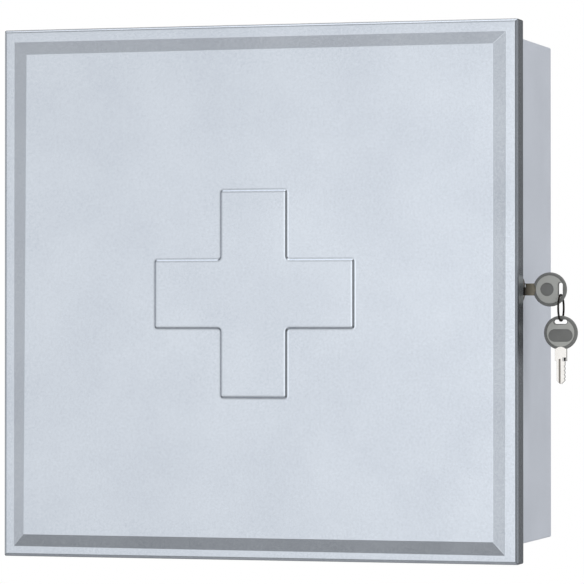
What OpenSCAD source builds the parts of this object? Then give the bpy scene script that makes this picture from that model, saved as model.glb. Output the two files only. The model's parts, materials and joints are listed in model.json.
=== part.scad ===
// Lockable wall cabinet for medicines, folded from sheet steel.
// The origin is the centre of the body's back face, which lies on the wall.
// +X is the lock side, +Y goes into the wall and +Z is up. Millimetres.

/* [Body] */
// Width of the body, outside
body_w = 378; // [330:1:460]
// Height of the body, outside
body_h = 378; // [330:1:460]
// Depth of the body, from the wall to its front edge
body_depth = 143.5; // [125:0.5:190]
// Thickness of the body's sheet
sheet_t = 1; // [0.8:0.1:1.2]
// Outer radius of the body's folds
fold_r = 2; // [1.5:0.1:3]
// Width of the flange folded in round the front opening
front_flange = 11; // [10:0.5:12]
// Width of the flange folded in behind, which carries the back panel
back_flange = 14; // [10:0.5:20]
// Thickness of the back panel
back_t = 1; // [0.8:0.1:2]

/* [Wall holes] */
// Distance between the wall holes, side to side
wall_hole_dx = 300; // [200:1:310]
// Distance between the wall holes, up and down
wall_hole_dz = 300; // [200:1:310]
// Radius of a wall hole
wall_hole_r = 2.75; // [2:0.25:5]

/* [Shelves] */
// Height of each shelf's top above and below the middle
shelf_level = 62; // [50:1:75]
// Thickness of a shelf's sheet
shelf_t = 1; // [0.8:0.1:1.5]
// Height of a shelf's folded front and rear lips
shelf_lip = 12; // [8:0.5:14]
// Distance from the body's front edge back to a shelf's front lip
shelf_set_back = 13; // [5:0.5:40]
// Distance from the back flange forward to a shelf's rear lip
shelf_rear_gap = 4; // [1:0.5:10]
// Clearance between a shelf's end and the side wall
shelf_fit = 0.4; // [0.2:0.1:1]
// Length of a shelf bracket, front to back
bracket_l = 90; // [40:1:100]
// Width of both legs of a shelf bracket
bracket_leg = 10; // [6:0.5:14]
// Thickness of a shelf bracket
bracket_t = 1.2; // [0.8:0.1:2]

/* [Door] */
// How far the door stands out past the body at each side
overhang_side = 11; // [9.5:0.5:20]
// How far it stands out past the body's top
overhang_top = 9.7; // [0:0.1:20]
// How far it stands out past the body's bottom
overhang_bottom = 11.8; // [0:0.1:20]
// Thickness of the door at its frame, from front to back
door_t = 18.3; // [12:0.1:24]
// Gap between the door's back and the body's front edge
door_gap = 1.8; // [1.5:0.1:3]
// Thickness of the door's sheet
door_sheet = 1; // [0.8:0.1:1.2]
// Radius of the door's corners, seen from the front
door_corner_r = 1.6; // [0.5:0.1:4]
// Width of the chamfer round the door's front, seen from the front
edge_in = 2.1; // [1:0.1:4]
// Depth of that chamfer, seen from the side
edge_deep = 3; // [1:0.1:5]
// Width of the frame at the sides, from the door's edge to the bevel
frame_w = 8.8; // [5:0.1:30]
// Width of the frame above the bevel
frame_top = 9.4; // [5:0.1:30]
// Width of the frame below the bevel
frame_bottom = 7.3; // [5:0.1:30]
// Width of the bevel between the frame and the raised field
bevel_w = 9.2; // [4:0.1:30]
// Height of the raised field above the frame
field_rise = 1.5; // [0.5:0.1:3]
// How far the flange folded in round the door's back reaches past the body's front flange
flange_reach = 7; // [4:0.5:10]
// Clearance round the inner panel of the door
liner_fit = 0.3; // [0.1:0.1:1]

/* [Cross] */
// Length of the raised cross, both ways
cross_l = 155.4; // [80:0.1:220]
// Width of the cross's arms
cross_arm = 52; // [30:1:80]
// How far the cross's middle lies from the door's, to the lock side
cross_x = -1; // [-5:0.1:5]
// How far the cross's middle lies above the door's
cross_z = -1.3; // [-5:0.1:5]
// Height of the cross above the field
cross_rise = 1.5; // [0.5:0.1:3]
// Width of the cross's sloping walls
cross_slope = 1.2; // [0.5:0.1:3]

/* [Hinges] */
// Height of each hinge's middle above and below the body's middle
hinge_z = 120; // [100:1:140]
// Length of a hinge along its pin
hinge_l = 50; // [40:1:70]
// Length of the middle knuckle, which belongs to the door
knuckle_mid = 18; // [12:0.5:24]
// Gap between neighbouring knuckles
knuckle_gap = 0.3; // [0.1:0.1:1]
// Outer radius of the knuckles
barrel_r = 3.5; // [3:0.1:4]
// Radius of the hinge pin
pin_r = 1.75; // [1:0.05:2]
// Running clearance between the pin and its bore, on the radius
pin_fit = 0.05; // [0.02:0.01:0.1]
// Radius of the pin's head
pin_head_r = 2.8; // [2.2:0.1:3.4]
// Thickness of the pin's head
pin_head_t = 1; // [0.5:0.1:2]
// Clearance between the barrel and the door, and the barrel and the wall
barrel_fit = 0.4; // [0.3:0.1:1]
// Thickness of a hinge leaf
leaf_t = 1.4; // [1:0.1:1.4]
// Width of a hinge leaf, beyond the barrel
leaf_w = 22; // [20:0.5:24]
// Distance between a leaf's two fixings
fixing_dz = 30; // [20:1:36]
// Radius of the shanks of the door leaves' and the strike's screws
fixing_r = 2; // [1.5:0.1:2.4]
// Clearance of a fixing's hole, on the radius
hole_fit = 0.05; // [0.02:0.01:0.3]
// Radius of a hinge screw's head
fixing_head_r = 3.3; // [2.8:0.1:4]
// Radius of the shanks of the body leaves' rivets
rivet_r = 1.6; // [1.5:0.1:1.9]
// Radius of a rivet's head
rivet_head_r = 3.2; // [2.6:0.1:4]
// Height of a rivet's head, and of its closed end
rivet_head_t = 1.2; // [0.8:0.1:2]
// Length of a hinge screw below the door's back
hinge_screw_l = 6; // [4:0.5:9]

/* [Door fittings] */
// Radius of a rubber buffer
buffer_r = 4; // [3:0.5:5]
// Clearance between a buffer and the body's front edge
buffer_gap = 0.3; // [0.1:0.1:1]
// Height of each buffer above and below the body's middle
buffer_z = 165; // [100:1:175]

/* [Lock] */
// Distance of the lock's axis behind the door's front
lock_depth = 56.6; // [50:0.1:65]
// Height of the lock's axis above the body's middle
lock_z = 1; // [-5:0.5:5]
// Radius of the rosette on the outside
rosette_r = 9; // [8.5:0.5:12]
// Thickness of the rosette
rosette_t = 2; // [1:0.1:4]
// Width of the rosette's front chamfer
rosette_chamfer = 0.6; // [0.2:0.1:1]
// Radius of the housing's barrel
housing_r = 7.8; // [7.6:0.1:8.2]
// Length of the housing's barrel behind the rosette
housing_l = 20; // [20:0.5:22]
// Distance across the housing's two flats
housing_flats = 14; // [13.6:0.1:15]
// Clearance of the housing in the wall, on the radius
housing_fit = 0.15; // [0.05:0.05:0.4]
// Width of the nut across its flats
nut_flats = 20; // [19:0.5:24]
// Thickness of the nut
nut_t = 4; // [2:0.5:6]
// Clearance of the nut on the barrel, on the radius
nut_fit = 0.05; // [0.02:0.01:0.1]
// Radius of the turning plug
plug_r = 5.75; // [5.6:0.05:6]
// Running clearance of the plug in the housing, on the radius
plug_fit = 0.05; // [0.02:0.01:0.1]
// How far the plug's face lies behind the rosette's face
plug_recess = 0.3; // [0:0.1:1]
// Number of wafers in the plug
wafers = 4; // [3:1:5]
// Distance from one wafer to the next
wafer_pitch = 3; // [2.4:0.1:3]
// Thickness of a wafer
wafer_t = 0.8; // [0.5:0.1:1]
// Width of a wafer, across the keyway
wafer_w = 7; // [6:0.1:7.4]
// Height of a wafer, drawn in by the key
wafer_h = 9; // [8.4:0.1:9.4]
// Clearance round a wafer and round its window
wafer_fit = 0.1; // [0.05:0.05:0.2]

/* [Cam] */
// Length of the cam, from the lock's axis to its tip
cam_l = 29; // [24:0.5:30]
// Width of the cam
cam_w = 10; // [8:0.5:11]
// Radius of the cam round the lock's axis
cam_eye_r = 7; // [6:0.5:8]
// Thickness of the cam
cam_t = 2; // [1.5:0.1:2.5]
// Gap between the cam and the housing
cam_gap = 0.2; // [0.1:0.1:0.5]
// Width of the plug's square tail
tail_w = 6; // [5:0.1:6.5]
// Clearance of the tail in the cam's square hole, each side
tail_fit = 0.05; // [0.02:0.01:0.2]
// Radius of the cam washer
washer_r = 5.5; // [5:0.1:6.5]
// Thickness of the cam washer
washer_t = 1; // [0.5:0.1:1.5]
// Radius of the cam screw's shank
cam_screw_r = 1.9; // [1.5:0.1:2.1]
// Length of the cam screw's shank inside the plug's tail and end
cam_screw_l = 5; // [4:0.5:5.5]
// Radius of the cam screw's head
cam_head_r = 4; // [3:0.1:4.5]
// Thickness of the cam screw's head
cam_head_t = 2.6; // [1.5:0.1:3]

/* [Strike] */
// Height of the strike above the lock's axis, to its lower edge
strike_z = 11; // [10:0.5:13]
// Height of the strike, from its lower to its upper edge
strike_h = 23; // [20:0.5:30]
// Thickness of the strike's sheet
strike_t = 2; // [1.5:0.1:2.5]
// Width of the foot on the door's inner panel
strike_foot = 20; // [17:0.5:24]
// How far the lip reaches out past the cam
lip_past = 0.7; // [0:0.1:2]
// Play between the turned cam and the lip
strike_play = 2; // [1:0.1:4]
// Clearance between the strike's arm and the cam
strike_fit = 0.8; // [0.4:0.1:1.5]
// Distance between the two strike screws
strike_screw_dz = 11; // [9:0.5:14]
// Radius of a strike screw's head
strike_head_r = 3.4; // [3:0.1:4]
// Thickness of a strike screw's head
strike_head_t = 1.8; // [1:0.1:2.5]
// Length of a strike screw below its head
strike_screw_l = 8; // [6:0.5:10]

/* [Keys] */
// Diameter of a key's bow
bow_d = 25.4; // [22:0.1:27]
// Thickness of a key's bow
bow_t = 3.6; // [3:0.1:4]
// Chamfer round the bow and its slot
bow_chamfer = 0.7; // [0.3:0.1:0.9]
// Width of the bow's rim, outside its raised faces
bow_rim = 2.3; // [1.5:0.1:3]
// Height of both faces above the rim, and depth of the dish and the recess in them
bow_step = 0.35; // [0.1:0.05:0.5]
// Diameter of the round dish in one face of the bow
dish_d = 10; // [6:0.5:11]
// Length of the long recess in the other face of the bow
label_l = 18.4; // [12:0.1:19]
// Height of that recess
label_h = 9.4; // [6:0.1:10]
// How far the dish and the recess lie from the bow's centre, towards the blade
mark_offset = 2; // [0:0.1:2.5]
// Radius of the arch that the bow leaves open over the blade's shoulder
arch_r = 5.5; // [4:0.1:6]
// How far that arch reaches into the bow
arch_in = 2.3; // [0.5:0.1:3]
// Distance of the bow's slot from its centre
slot_offset = 8.2; // [7.8:0.1:8.3]
// Width of the slot, along the key
slot_w = 3.2; // [3:0.1:3.6]
// Length of the slot, across the key
slot_l = 10; // [9:0.1:10.5]
// Width of the blade's shoulder and of its tang in the bow
shoulder_w = 9; // [7:0.1:10]
// Length of the shoulder that shows between the lock and the bow
shoulder_l = 8.3; // [5:0.1:10]
// Depth of the tang in the bow
tang_l = 7; // [5:0.1:9]
// Thickness of the blade
blade_t = 2; // [1.5:0.1:2.2]
// Width of the blade
blade_w = 6.4; // [5.5:0.1:7]
// Length of the blade, from the shoulder to its tip
blade_l = 17; // [14.5:0.1:17]
// Length of the blade's pointed tip
tip_l = 2.6; // [1:0.1:4]
// Width of the notch in the shoulder, beside the blade
notch_w = 2.2; // [1:0.1:2.6]
// Depth of that notch, along the key
notch_l = 2.6; // [1:0.1:4]
// Width of the groove along the blade
groove_w = 1.2; // [0.8:0.1:2]
// How far the groove lies from the blade's middle
groove_offset = 0.8; // [0:0.1:1.2]
// How far the groove runs into the shoulder
groove_in = 1.5; // [0:0.1:4]
// Depth of that groove in each face
groove_deep = 0.45; // [0.2:0.05:0.7]
// Depth of the coded cuts in the blade's edge
bit_deep = 0.7; // [0.2:0.1:1]
// Clearance of the blade in the keyway, each side
keyway_fit = 0.1; // [0.05:0.05:0.2]

/* [Key ring] */
// Outer diameter of the split ring
ring_d = 20.7; // [19.5:0.1:24]
// Radius of the ring's wire
wire_r = 0.6; // [0.5:0.05:0.7]
// Distance of each of its two turns from the ring's middle plane
turn_offset = 0.22; // [0.1:0.02:0.4]
// Least clearance between the ring and the bow that it hangs on
ring_fit = 0.25; // [0.2:0.05:0.4]
// Clearance between the ring and the spare key that hangs on it
hang_fit = 0.35; // [0.3:0.05:0.5]

/* [Hidden] */
$fn = 48;

// Extra length of a cutting tool past the face that it cuts
over = 1;
// Width of the metal left beside the notch in a key's shoulder
notch_edge = 0.7;
painted = "#c9d1da";
steel = "#b9bdc1";
nickel = "#d9d9d6";
brass = "#c9a85c";
rubber = "#2b2c2e";
bow_grey = "#6f706e";

// The door covers the body and its overhangs, and its middle lies below the body's
door_w = body_w + 2 * overhang_side;
door_h = body_h + overhang_top + overhang_bottom;
door_drop = (overhang_bottom - overhang_top) / 2;

// Places along Y, from the wall forwards
back_front = -back_t;
body_front = -body_depth;
door_back = body_front - door_gap;
door_front = door_back - door_t;
liner_back = door_back - door_sheet;

// Places along X of the walls and the front opening
wall_out = body_w / 2;
wall_in = wall_out - sheet_t;
opening_x = wall_in - front_flange;
opening_z = body_h / 2 - sheet_t - front_flange;

// Hinge axis: the barrel clears the body's side wall and the door's back
pivot_x = -wall_out - barrel_r - barrel_fit;
pivot_y = door_back + barrel_r + barrel_fit;
knuckle_side = (hinge_l - knuckle_mid) / 2;
leaf_fixing = leaf_w / 2;

// Lock axis, and the places along it
lock_y = door_front + lock_depth;
rosette_face = wall_out + rosette_t;
plug_face = rosette_face - plug_recess;
housing_back = wall_out - housing_l;
cam_front = housing_back - cam_gap;
cam_back = cam_front - cam_t;
washer_back = cam_back - washer_t;
keyway_l = blade_l + keyway_fit;
first_wafer = (keyway_l - wafer_pitch * wafers) / 2 + wafer_pitch / 2;
bore_r = plug_r + plug_fit;
keyway_w = blade_w + 2 * keyway_fit;
keyway_t = blade_t + 2 * keyway_fit;

// Strike: its arm stands inboard of the cam, and its lip behind the turned cam
arm_out = cam_back - strike_fit;
arm_in = arm_out - strike_t;
lip_out = cam_front + lip_past;
lip_front = lock_y + cam_w / 2 + strike_play;
strike_low = lock_z + strike_z;
strike_high = strike_low + strike_h;
strike_screw_x = arm_in - (strike_foot - strike_t) / 2;
strike_screw_z = (strike_low + strike_high) / 2;

// Keys: a key's own origin is where its shoulder meets the plug
bow_r = bow_d / 2;
bow_x = shoulder_l + bow_r;
slot_x = bow_x + slot_offset;
chord_half = sqrt(bow_r * bow_r - slot_offset * slot_offset);
bar_in = slot_l / 2;
bar_half = (chord_half - bar_in) / 2;
bar_mid = (chord_half + bar_in) / 2;
bar_reach = sqrt(bar_half * bar_half + pow(bow_t / 2 - bow_chamfer, 2));

// Ring: it hangs on the bar below the slot of the key in the lock, and turns round it
ring_mid_r = ring_d / 2 - wire_r;
ring_in_r = ring_mid_r - wire_r;
ring_x = plug_face + slot_x;
ring_pivot_z = lock_z - bar_mid;
ring_z = ring_pivot_z - (ring_in_r - ring_fit - bar_reach);
ring_low_z = ring_z - ring_mid_r;
// The spare key's slot hangs with its upper edge on the ring's lowest wire
spare_z = ring_low_z + wire_r + hang_fit - slot_w / 2 - slot_x;

// A box between two corners
module block(low, high) {
    translate(low) cube(high - low);
}

// A rod along X, Y or Z between two places
module rod_x(from, to, r, r_end = -1) {
    translate([from, 0, 0]) rotate([0, 90, 0])
        cylinder(h = to - from, r1 = r, r2 = r_end < 0 ? r : r_end);
}
module rod_y(from, to, r, r_end = -1) {
    translate([0, to, 0]) rotate([90, 0, 0])
        cylinder(h = to - from, r1 = r_end < 0 ? r : r_end, r2 = r);
}
module rod_z(from, to, r, r_end = -1) {
    translate([0, 0, from]) cylinder(h = to - from, r1 = r, r2 = r_end < 0 ? r : r_end);
}

module rounded_rect(w, h, r) {
    square([w - 2 * r, h], center = true);
    square([w, h - 2 * r], center = true);
    for (x = [-1, 1], z = [-1, 1])
        translate([x * (w / 2 - r), z * (h / 2 - r)]) circle(r = r);
}

// A rounded rectangle seen from the front, between two places along Y
module slab(w, h, r, from, to) {
    translate([0, to, 0]) rotate([90, 0, 0]) linear_extrude(to - from) rounded_rect(w, h, r);
}

// A block with four sloping sides: size [x, z] at place `from`, narrower by
// `inset` a side at place `to`, nearer the viewer
module frustum(size, inset, from, to) {
    module side(across, along)
        linear_extrude(along, center = true)
            polygon([
                [-across / 2, from], [across / 2, from],
                [across / 2 - inset, to], [-across / 2 + inset, to]
            ]);
    intersection() {
        side(size[0], size[1] + 2 * over);
        rotate([0, 90, 0]) side(size[1], size[0] + 2 * over);
    }
}

module at_door() translate([0, 0, -door_drop]) children();
module at_lock() translate([0, lock_y, lock_z]) children();
module at_hinge(side) translate([pivot_x, pivot_y, side * hinge_z]) children();

// ---- Body ----

module cabinet_shell() {
    seat = back_front - sheet_t;
    color(painted) difference() {
        slab(body_w, body_h, fold_r, body_front, 0);
        slab(body_w - 2 * sheet_t, body_h - 2 * sheet_t, fold_r - sheet_t,
            body_front + sheet_t, seat);
        slab(body_w - 2 * sheet_t, body_h - 2 * sheet_t, fold_r - sheet_t,
            back_front, over);
        slab(2 * opening_x, 2 * opening_z, fold_r,
            body_front - over, body_front + sheet_t + over);
        slab(body_w - 2 * (sheet_t + back_flange), body_h - 2 * (sheet_t + back_flange),
            fold_r, seat - over, over);
        at_lock() intersection() {
            rod_x(wall_in - over, wall_out + over, housing_r + housing_fit);
            block([0, -housing_flats / 2 - housing_fit, -rosette_r],
                [body_w, housing_flats / 2 + housing_fit, rosette_r]);
        }
        leaf_fixings_body() rod_x(-wall_out - over, -wall_in + over, rivet_r + hole_fit);
    }
}

module back_panel() {
    w = body_w - 2 * sheet_t;
    h = body_h - 2 * sheet_t;
    color(painted) difference() {
        slab(w, h, fold_r - sheet_t, back_front, 0);
        for (x = [-1, 1], z = [-1, 1])
            translate([x * wall_hole_dx / 2, 0, z * wall_hole_dz / 2])
                rod_y(back_front - over, over, wall_hole_r);
    }
}

// Shelf with its top at height `top`
module shelf(top) {
    reach = wall_in - shelf_fit;
    front = body_front + shelf_set_back;
    rear = back_front - sheet_t - shelf_rear_gap;
    color(painted) {
        block([-reach, front, top - shelf_t], [reach, rear, top]);
        block([-reach, front, top - shelf_lip], [reach, front + shelf_t, top]);
        block([-reach, rear - shelf_t, top - shelf_lip], [reach, rear, top]);
    }
}

module shelf_brackets() {
    mid = (body_front + shelf_set_back + back_front - sheet_t - shelf_rear_gap) / 2;
    color(steel)
        for (side = [-1, 1], level = [-1, 1]) {
            top = level * shelf_level - shelf_t;
            mirror([side < 0 ? 1 : 0, 0, 0]) {
                block([wall_in - bracket_t, mid - bracket_l / 2, top - bracket_leg],
                    [wall_in, mid + bracket_l / 2, top]);
                block([wall_in - bracket_leg, mid - bracket_l / 2, top - bracket_t],
                    [wall_in, mid + bracket_l / 2, top]);
            }
        }
}

// ---- Hinges ----

// The places of the fixings through the body leaf, on the wall's axis line
module leaf_fixings_body(sides = [-1, 1]) {
    for (side = sides, end = [-1, 1])
        translate([0, pivot_y + barrel_r + leaf_fixing, side * hinge_z + end * fixing_dz / 2])
            children();
}

// The places of the fixings through the door leaf
module leaf_fixings_door(sides = [-1, 1]) {
    for (side = sides, end = [-1, 1])
        translate([pivot_x + barrel_r + leaf_fixing, 0, side * hinge_z + end * fixing_dz / 2])
            children();
}

module hinge_leaf_body(side) {
    leaf_in = -wall_out - pivot_x;
    color(steel) difference() {
        at_hinge(side) difference() {
            union() {
                block([leaf_in - leaf_t, barrel_r + barrel_fit, -hinge_l / 2],
                    [leaf_in, barrel_r + leaf_w, hinge_l / 2]);
                for (end = [-1, 1])
                    translate([0, 0, end * (hinge_l - knuckle_side) / 2])
                        block([leaf_in - leaf_t, 0, -knuckle_side / 2],
                            [leaf_in, barrel_r + leaf_w, knuckle_side / 2]);
                rod_z(-hinge_l / 2, hinge_l / 2, barrel_r);
            }
            rod_z(-knuckle_mid / 2, knuckle_mid / 2, barrel_r + barrel_fit);
            rod_z(-hinge_l, hinge_l, pin_r + pin_fit);
        }
        leaf_fixings_body([side]) rod_x(-body_w, 0, rivet_r + hole_fit);
    }
}

module hinge_leaf_door(side) {
    leaf_back = door_back + leaf_t;
    flat_x = barrel_r + barrel_fit;
    half = knuckle_mid / 2 - knuckle_gap;
    color(steel) difference() {
        union() {
            translate([pivot_x, 0, side * hinge_z]) {
                block([flat_x, door_back, -hinge_l / 2],
                    [barrel_r + leaf_w, leaf_back, hinge_l / 2]);
                block([0, door_back, -half], [flat_x + over, leaf_back, half]);
            }
            at_hinge(side) rod_z(-half, half, barrel_r);
        }
        at_hinge(side) rod_z(-hinge_l, hinge_l, pin_r + pin_fit);
        leaf_fixings_door([side]) {
            rod_y(door_back - over, leaf_back + over, fixing_r + hole_fit);
            rod_y(door_back, leaf_back, fixing_r + hole_fit, fixing_head_r + hole_fit);
        }
    }
}

module hinge_pin(side) {
    color(nickel) at_hinge(side) {
        rod_z(-hinge_l / 2, hinge_l / 2 + pin_head_t / 2, pin_r);
        rod_z(hinge_l / 2, hinge_l / 2 + pin_head_t, pin_head_r, pin_head_r - pin_head_t / 2);
    }
}

module hinge_rivets() {
    color(nickel) leaf_fixings_body() {
        rod_x(-wall_out - leaf_t - rivet_head_t, -wall_in + rivet_head_t / 2, rivet_r);
        rod_x(-wall_out - leaf_t - rivet_head_t, -wall_out - leaf_t,
            rivet_r, rivet_head_r);
        rod_x(-wall_in, -wall_in + rivet_head_t, rivet_head_r, rivet_r);
    }
}

module hinge_screws() {
    color(nickel) leaf_fixings_door() {
        rod_y(door_back - hinge_screw_l, door_back + over / 2, fixing_r);
        rod_y(door_back, door_back + leaf_t, fixing_r, fixing_head_r);
    }
}

// ---- Door ----

// The pressed front as a solid: everything behind its surface, `shift` back from
// the outside and `inset` in from the sides, down to the place `to`
module door_form(inset, shift, to) {
    front = door_front + shift;
    w = door_w - 2 * inset;
    h = door_h - 2 * inset;
    field_w = door_w - 2 * frame_w;
    field_h = door_h - frame_top - frame_bottom;
    deep = front + edge_deep;
    // Each part of the pressing starts a little behind the one that it stands on
    root = over / 4;
    slab(w, h, door_corner_r, deep, to);
    intersection() {
        frustum([w, h], edge_in, deep, front);
        slab(w, h, door_corner_r, front - over, deep);
    }
    translate([0, 0, (frame_bottom - frame_top) / 2])
        frustum([for (s = [field_w, field_h]) s + 2 * root * bevel_w / field_rise],
            bevel_w * (1 + root / field_rise), front + root, front - field_rise);
    for (size = [[cross_l, cross_arm], [cross_arm, cross_l]])
        translate([cross_x, 0, cross_z])
            frustum([for (s = size) s + 2 * root * cross_slope / cross_rise],
                cross_slope * (1 + root / cross_rise),
                front - field_rise + root, front - field_rise - cross_rise);
}

module door_skin() {
    color(painted) difference() {
        at_door() difference() {
            door_form(0, 0, door_back);
            door_form(door_sheet, door_sheet, liner_back);
        }
        slab(2 * (opening_x - flange_reach), 2 * (opening_z - flange_reach), door_corner_r,
            liner_back - over, door_back + over);
        leaf_fixings_door() rod_y(liner_back - over, door_back + over, fixing_r + hole_fit);
    }
}

module door_liner() {
    w = door_w - 2 * (door_sheet + liner_fit);
    h = door_h - 2 * (door_sheet + liner_fit);
    color(painted) difference() {
        at_door() slab(w, h, door_corner_r, liner_back - door_sheet, liner_back);
        leaf_fixings_door() rod_y(door_front, door_back, fixing_r + hole_fit);
        strike_fixings() rod_y(door_front, door_back, fixing_r + hole_fit);
    }
}

module door_buffers() {
    color(rubber)
        for (end = [-1, 1])
            translate([(wall_out + opening_x) / 2, 0, end * buffer_z])
                rod_y(door_back, body_front - buffer_gap, buffer_r);
}

module strike_fixings() {
    for (end = [-1, 1])
        translate([strike_screw_x, 0, strike_screw_z + end * strike_screw_dz / 2]) children();
}

module strike_bracket() {
    lip_back = lip_front + strike_t;
    color(steel) difference() {
        union() {
            block([arm_out - strike_foot, liner_back, strike_low],
                [arm_out, liner_back + strike_t, strike_high]);
            block([arm_in, liner_back, strike_low], [arm_out, lip_back, strike_high]);
            block([arm_in, lip_front, strike_low], [lip_out, lip_back, strike_high]);
        }
        strike_fixings() rod_y(liner_back - over, liner_back + strike_t + over,
            fixing_r + hole_fit);
    }
}

module strike_screws() {
    head = liner_back + strike_t;
    color(nickel) strike_fixings() {
        rod_y(head - strike_screw_l, head + strike_head_t / 2, fixing_r);
        rod_y(head, head + strike_head_t, strike_head_r, strike_head_r - strike_head_t / 2);
    }
}

// ---- Lock ----

module lock_housing() {
    chamber = wafer_w + 2 * wafer_fit;
    chamber_h = housing_flats - 2;
    color(nickel) at_lock() difference() {
        union() {
            intersection() {
                rod_x(housing_back, wall_out + rosette_t / 2, housing_r);
                block([housing_back, -housing_flats / 2, -rosette_r],
                    [rosette_face, housing_flats / 2, rosette_r]);
            }
            rod_x(wall_out, rosette_face - rosette_chamfer, rosette_r);
            rod_x(rosette_face - rosette_chamfer, rosette_face,
                rosette_r, rosette_r - rosette_chamfer);
        }
        rod_x(housing_back - over, rosette_face + over, bore_r);
        block([plug_face - keyway_l, -chamber / 2, -chamber_h / 2],
            [wall_in, chamber / 2, chamber_h / 2]);
    }
}

module lock_nut() {
    color(nickel) at_lock() difference() {
        translate([wall_in - nut_t, 0, 0]) rotate([0, 90, 0])
            cylinder(h = nut_t, r = nut_flats / sqrt(3), $fn = 6);
        rod_x(wall_in - nut_t - over, wall_in + over, housing_r + nut_fit);
    }
}

// The places of the wafers along the lock's axis
function wafer_x(i) = plug_face - first_wafer - i * wafer_pitch;

module lock_plug() {
    color(nickel) at_lock() difference() {
        union() {
            rod_x(housing_back, plug_face, plug_r);
            block([cam_back + cam_gap, -tail_w / 2, -tail_w / 2],
                [housing_back + over, tail_w / 2, tail_w / 2]);
        }
        block([plug_face - keyway_l, -keyway_t / 2, -keyway_w / 2],
            [plug_face + over, keyway_t / 2, keyway_w / 2]);
        for (i = [0 : wafers - 1])
            translate([wafer_x(i), 0, 0])
                block([-wafer_t / 2 - wafer_fit, -wafer_w / 2 - wafer_fit, -bore_r],
                    [wafer_t / 2 + wafer_fit, wafer_w / 2 + wafer_fit, bore_r]);
        rod_x(cam_back - over, cam_back + cam_screw_l + hole_fit, cam_screw_r + hole_fit);
    }
}

module lock_wafers() {
    window_w = keyway_w + 2 * wafer_fit;
    window_t = keyway_t + 2 * wafer_fit;
    color(brass) at_lock()
        for (i = [0 : wafers - 1])
            translate([wafer_x(i), 0, 0]) difference() {
                block([-wafer_t / 2, -wafer_w / 2, -wafer_h / 2],
                    [wafer_t / 2, wafer_w / 2, wafer_h / 2]);
                block([-wafer_t, -window_t / 2, -window_w / 2],
                    [wafer_t, window_t / 2, window_w / 2]);
            }
}

// The cam points to the door when the lock is open
module lock_cam() {
    hole = tail_w / 2 + tail_fit;
    color(steel) at_lock() difference() {
        union() {
            rod_x(cam_back, cam_front, cam_eye_r);
            block([cam_back, -cam_l + cam_w / 2, -cam_w / 2], [cam_front, 0, cam_w / 2]);
            translate([0, -cam_l + cam_w / 2, 0]) rod_x(cam_back, cam_front, cam_w / 2);
        }
        block([cam_back - over, -hole, -hole], [cam_front + over, hole, hole]);
    }
}

module cam_washer() {
    color(steel) at_lock() difference() {
        rod_x(washer_back, cam_back, washer_r);
        rod_x(washer_back - over, cam_back + over, cam_screw_r + hole_fit);
    }
}

module cam_screw() {
    slot = cam_head_t / 3;
    color(nickel) at_lock() difference() {
        union() {
            rod_x(washer_back - cam_head_t / 2, cam_back + cam_screw_l, cam_screw_r);
            rod_x(washer_back - cam_head_t, washer_back, cam_head_r - slot, cam_head_r);
        }
        block([washer_back - cam_head_t - over, -slot / 2, -bow_r],
            [washer_back - cam_head_t + slot, slot / 2, bow_r]);
    }
}

// ---- Keys ----

// A key lies in the X-Z plane with its blade towards -X. Its front is at -Y.
module blade() {
    half = blade_w / 2;
    face = blade_t / 2;
    color(nickel) difference() {
        rotate([90, 0, 0]) linear_extrude(blade_t, center = true) {
            polygon([
                [0, -half], [0, half], [-blade_l + tip_l, half],
                [-blade_l, groove_w / 2], [-blade_l, -groove_w / 2], [-blade_l + tip_l, -half]
            ]);
            translate([0, -shoulder_w / 2]) square([shoulder_l + tang_l, shoulder_w]);
        }
        for (side = [-1, 1])
            translate([0, side * face, -groove_offset])
                block([-blade_l - over, -groove_deep, -groove_w / 2],
                    [groove_in, groove_deep, groove_w / 2]);
        translate([0, 0, shoulder_w / 2 - notch_edge])
            block([0, -blade_t, -notch_w], [notch_l, blade_t, 0]);
        for (i = [0 : wafers - 1])
            translate([-first_wafer - i * wafer_pitch, 0, half])
                rotate([0, 45, 0]) cube([bit_deep * sqrt(2), blade_t + over, bit_deep * sqrt(2)],
                    center = true);
    }
}

// The bow's slot, with its chamfered edges
module bow_slot() {
    face = bow_t / 2;
    straight = (slot_l - slot_w) / 2;
    wide = slot_w / 2 + bow_chamfer;
    block([-slot_w / 2, -face - over, -straight], [slot_w / 2, face + over, straight]);
    for (end = [-1, 1]) translate([0, 0, end * straight])
        rod_y(-face - over, face + over, slot_w / 2);
    for (side = [0, 1]) mirror([0, side, 0]) {
        translate([0, 0, -straight]) linear_extrude(2 * straight) polygon([
            [-slot_w / 2, face - bow_chamfer], [slot_w / 2, face - bow_chamfer],
            [wide, face], [-wide, face]
        ]);
        for (end = [-1, 1]) translate([0, 0, end * straight])
            rod_y(face - bow_chamfer, face, slot_w / 2, wide);
    }
}

// A long shape with round ends, seen from the front
module stadium(length, height, from, to) {
    straight = (length - height) / 2;
    block([-height / 2, from, -straight], [height / 2, to, straight]);
    for (end = [-1, 1]) translate([0, 0, end * straight]) rod_y(from, to, height / 2);
}

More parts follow.
